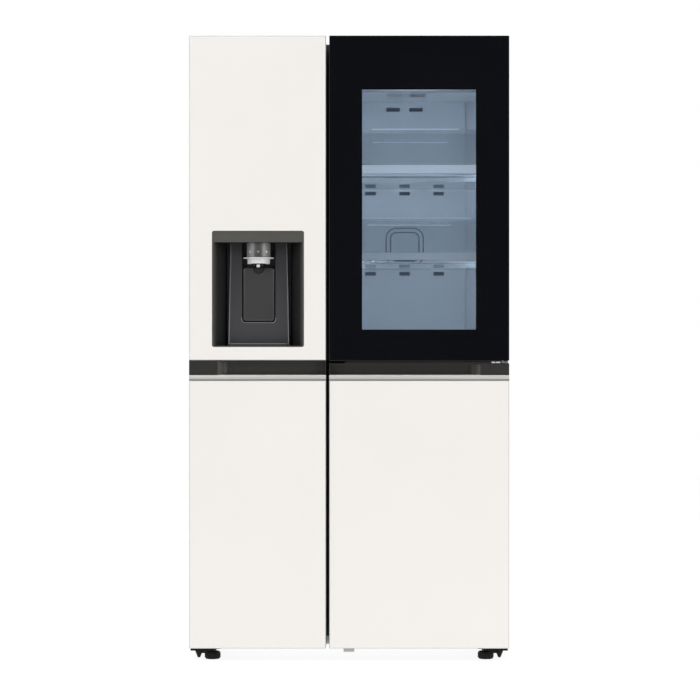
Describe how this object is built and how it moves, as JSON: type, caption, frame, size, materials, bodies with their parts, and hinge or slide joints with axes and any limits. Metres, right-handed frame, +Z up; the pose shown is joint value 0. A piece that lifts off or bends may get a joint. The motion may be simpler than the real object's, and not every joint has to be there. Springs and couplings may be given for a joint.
{
  "type": "side by side refrigerator",
  "caption": "Side by side refrigerator with pale doors, a dark window door in the right door, a dispenser niche in the left door, shelves, drawers and levelling feet.",
  "frame": {"origin": "on the floor, at the middle of the outer box", "axes": "+X to the right seen from the front, +Y from the doors to the back, +Z up"},
  "size_m": [0.913, 0.735, 1.79],
  "materials": {
    "cream_panel": "smooth satin cream coating",
    "cabinet_paint": "fine textured grey coating",
    "door_body": "satin dark grey coating",
    "galvanised": "galvanised sheet",
    "black_steel": "semi gloss black coating",
    "zinc": "bright zinc plating",
    "foam": "cut polyurethane foam",
    "liner": "vacuum formed white plastic",
    "duct": "moulded pale plastic",
    "handle_trim": "dark metallic lacquer",
    "grip": "satin anodised",
    "dispenser_dark": "fine matt moulding",
    "dispenser_column": "dark metallic lacquer",
    "paddle": "satin black moulding",
    "spout": "bright plated",
    "gasket": "soft grey vinyl",
    "black_glass": "black print under glass",
    "clear_glass": "clear polished",
    "shelf_glass": "tempered with polished edge",
    "bin_plastic": "clear moulded polystyrene",
    "black_plastic": "moulded black",
    "grey_plastic": "moulded grey",
    "shelf_trim": "clear and white moulding",
    "lamp_lens": "frosted",
    "compressor_paint": "black enamel",
    "coil": "bare fin stock"
  },
  "bodies": {
    "cabinet": {"cabinet_shell": "cabinet_paint", "cabinet_back_panel": "galvanised", "cabinet_insulation": "foam", "freezer_liner": "liner", "fridge_liner": "liner", "mullion_cover": "cabinet_paint", "base_frame": "galvanised", "machine_room_cover": "galvanised", "door_hinges": "black_steel", "hinge_covers": "grey_plastic", "compressor": "compressor_paint", "condenser": "coil", "fan_motors": "grey_plastic", "evaporator": "coil", "freezer_air_duct": "duct", "fridge_air_duct": "duct", "air_filter_cover": "duct", "fridge_light": "lamp_lens", "fridge_shelf_glass": "shelf_glass", "fridge_shelf_trim": "shelf_trim", "freezer_shelves": "shelf_glass"},
    "left_foot": {"leveling_foot_left": "black_plastic"},
    "right_foot": {"leveling_foot_right": "black_plastic"},
    "rollers": {"rear_rollers": "black_plastic"},
    "condenser_fan_rotor": {"condenser_fan": "black_plastic"},
    "evaporator_fan_rotor": {"evaporator_fan": "grey_plastic"},
    "crisper_upper_drawer": {"crisper_upper": "bin_plastic"},
    "crisper_lower_drawer": {"crisper_lower": "bin_plastic"},
    "freezer_upper_drawer": {"freezer_drawer_upper": "bin_plastic"},
    "freezer_lower_drawer": {"freezer_drawer_lower": "bin_plastic"},
    "freezer_door": {"freezer_door_core": "door_body", "freezer_door_liner": "liner", "freezer_upper_panel": "cream_panel", "freezer_lower_panel": "cream_panel", "freezer_handle_channel": "handle_trim", "freezer_handle_grip": "grip", "freezer_gasket": "gasket", "freezer_door_bins": "bin_plastic", "dispenser_housing": "dispenser_dark", "dispenser_column": "dispenser_column", "dispenser_head": "dispenser_dark", "dispenser_spout": "spout", "drip_tray": "paddle", "ice_maker": "liner", "ice_bucket": "bin_plastic"},
    "paddle": {"dispenser_paddle": "paddle"},
    "fridge_door": {"fridge_door_core": "door_body", "fridge_door_liner": "liner", "fridge_lower_panel": "cream_panel", "fridge_handle_channel": "handle_trim", "fridge_handle_grip": "grip", "fridge_gasket": "gasket", "fridge_door_bins": "bin_plastic", "door_bottom_block": "grey_plastic", "window_hinges": "zinc"},
    "window_door": {"window_frame": "black_plastic", "window_glass": "clear_glass", "window_mask": "black_glass", "window_gasket": "gasket"},
    "latch": {"window_latch": "black_plastic"}
  },
  "joints": [
    {"name": "freezer_door_hinge", "type": "hinge", "parent": "cabinet", "child": "freezer_door", "pos_m": [-0.4335, -0.2975, 0.9], "axis": [0, 0, -1], "range_deg": [0, 115]},
    {"name": "fridge_door_hinge", "type": "hinge", "parent": "cabinet", "child": "fridge_door", "pos_m": [0.4335, -0.2975, 0.9], "axis": [0, 0, 1], "range_deg": [0, 115]},
    {"name": "window_door_hinge", "type": "hinge", "parent": "fridge_door", "child": "window_door", "pos_m": [0.438, -0.3435, 1.3], "axis": [0, 0, 1], "range_deg": [0, 105]},
    {"name": "window_latch_pull", "type": "hinge", "parent": "window_door", "child": "latch", "pos_m": [-0.033, -0.3485, 0.876], "axis": [-1, 0, 0], "range_deg": [0, 12], "stiffness_Nm_per_rad": 0.3},
    {"name": "dispenser_paddle_push", "type": "hinge", "parent": "freezer_door", "child": "paddle", "pos_m": [-0.26, -0.3105, 1.12], "axis": [1, 0, 0], "range_deg": [0, 5], "stiffness_Nm_per_rad": 2, "springref_deg": -2.86},
    {"name": "crisper_upper_slide", "type": "slide", "parent": "cabinet", "child": "crisper_upper_drawer", "axis": [0, -1, 0], "range_m": [0, 0.06]},
    {"name": "crisper_lower_slide", "type": "slide", "parent": "cabinet", "child": "crisper_lower_drawer", "axis": [0, -1, 0], "range_m": [0, 0.06]},
    {"name": "freezer_drawer_upper_slide", "type": "slide", "parent": "cabinet", "child": "freezer_upper_drawer", "axis": [0, -1, 0], "range_m": [0, 0.06]},
    {"name": "freezer_drawer_lower_slide", "type": "slide", "parent": "cabinet", "child": "freezer_lower_drawer", "axis": [0, -1, 0], "range_m": [0, 0.06]},
    {"name": "left_foot_height", "type": "slide", "parent": "cabinet", "child": "left_foot", "axis": [0, 0, 1], "range_m": [-0.01, 0]},
    {"name": "right_foot_height", "type": "slide", "parent": "cabinet", "child": "right_foot", "axis": [0, 0, 1], "range_m": [-0.01, 0]},
    {"name": "rear_rollers_spin", "type": "hinge", "parent": "cabinet", "child": "rollers", "pos_m": [0, 0.3215, 0.018], "axis": [1, 0, 0], "continuous": true},
    {"name": "condenser_fan_spin", "type": "hinge", "parent": "cabinet", "child": "condenser_fan_rotor", "pos_m": [-0.04, 0.27875, 0.141], "axis": [1, 0, 0], "continuous": true},
    {"name": "evaporator_fan_spin", "type": "hinge", "parent": "cabinet", "child": "evaporator_fan_rotor", "pos_m": [-0.2525, 0.269, 0.93], "axis": [0, 1, 0], "continuous": true}
  ]
}
